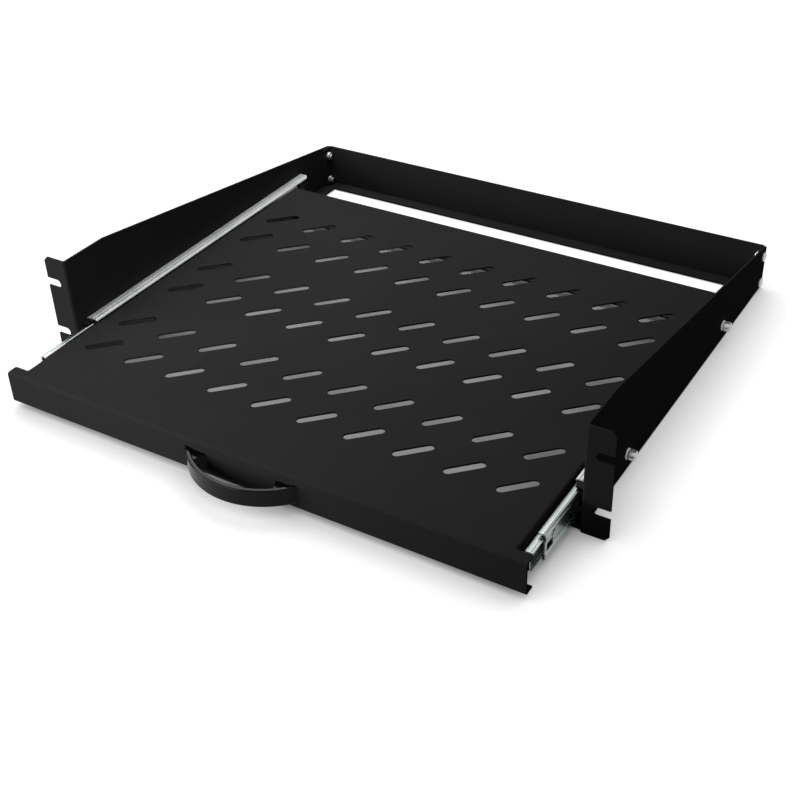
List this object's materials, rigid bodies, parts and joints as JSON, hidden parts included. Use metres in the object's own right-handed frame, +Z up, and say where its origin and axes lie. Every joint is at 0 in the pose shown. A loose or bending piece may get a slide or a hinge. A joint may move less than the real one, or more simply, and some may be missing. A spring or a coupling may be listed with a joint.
{
  "type": "sliding rack shelf",
  "caption": "Sliding equipment shelf for a 19 inch rack: slotted steel tray with a pull handle on telescopic ball slides inside a folded frame with rack ears",
  "frame": {"origin": "middle of the mounting plane, which is the rear face of the two ears, at the level of the frame's underside", "axes": "+X to the right seen from the front, +Y into the rack, +Z up; the tray pulls out along -Y"},
  "size_m": [0.4826, 0.4681, 0.0884],
  "materials": {
    "powder_coat": "black powder coat with a fine texture",
    "zinc_rail": "bright zinc plate on cold-rolled steel",
    "zinc_fastener": "zinc plate",
    "handle_gloss": "glossy black moulding",
    "slide_plastic": "matt black moulding",
    "ball_steel": "polished ball steel"
  },
  "bodies": {
    "frame": {"left_side_bracket": "powder_coat", "right_side_bracket": "powder_coat", "rear_panel": "powder_coat", "left_outer_rail": "zinc_rail", "right_outer_rail": "zinc_rail", "slide_screws": "zinc_fastener", "slide_flange_nuts": "zinc_fastener", "corner_screws": "zinc_fastener", "corner_nuts": "zinc_fastener", "left_front_stops": "slide_plastic", "right_front_stops": "slide_plastic", "left_rear_bumper": "slide_plastic", "right_rear_bumper": "slide_plastic"},
    "tray": {"tray_pan": "powder_coat", "pull_handle": "handle_gloss", "handle_screws": "zinc_fastener", "left_inner_rail": "zinc_rail", "right_inner_rail": "zinc_rail", "inner_rail_screws": "zinc_fastener"},
    "left_middle": {"left_middle_rail": "zinc_rail"},
    "left_outer_cage": {"left_outer_ball_cage": "slide_plastic", "left_outer_balls": "ball_steel"},
    "left_inner_cage": {"left_inner_ball_cage": "slide_plastic", "left_inner_balls": "ball_steel"},
    "right_middle": {"right_middle_rail": "zinc_rail"},
    "right_outer_cage": {"right_outer_ball_cage": "slide_plastic", "right_outer_balls": "ball_steel"},
    "right_inner_cage": {"right_inner_ball_cage": "slide_plastic", "right_inner_balls": "ball_steel"}
  },
  "joints": [
    {"name": "tray_slide", "type": "slide", "parent": "frame", "child": "tray", "axis": [0, -1, 0], "range_m": [-0.074, 0.21]},
    {"name": "left_middle_slide", "type": "slide", "parent": "frame", "child": "left_middle", "axis": [0, -1, 0], "range_m": [-0.0518, 0.147]},
    {"name": "left_outer_cage_slide", "type": "slide", "parent": "frame", "child": "left_outer_cage", "axis": [0, -1, 0], "range_m": [-0.0259, 0.0735]},
    {"name": "left_inner_cage_slide", "type": "slide", "parent": "frame", "child": "left_inner_cage", "axis": [0, -1, 0], "range_m": [-0.0629, 0.1785]},
    {"name": "right_middle_slide", "type": "slide", "parent": "frame", "child": "right_middle", "axis": [0, -1, 0], "range_m": [-0.0518, 0.147]},
    {"name": "right_outer_cage_slide", "type": "slide", "parent": "frame", "child": "right_outer_cage", "axis": [0, -1, 0], "range_m": [-0.0259, 0.0735]},
    {"name": "right_inner_cage_slide", "type": "slide", "parent": "frame", "child": "right_inner_cage", "axis": [0, -1, 0], "range_m": [-0.0629, 0.1785]}
  ],
  "couplings": [
    {"joint": "left_middle_slide", "follows": "tray_slide", "ratio": 0.7},
    {"joint": "left_outer_cage_slide", "follows": "tray_slide", "ratio": 0.35},
    {"joint": "left_inner_cage_slide", "follows": "tray_slide", "ratio": 0.85},
    {"joint": "right_middle_slide", "follows": "tray_slide", "ratio": 0.7},
    {"joint": "right_outer_cage_slide", "follows": "tray_slide", "ratio": 0.35},
    {"joint": "right_inner_cage_slide", "follows": "tray_slide", "ratio": 0.85}
  ]
}
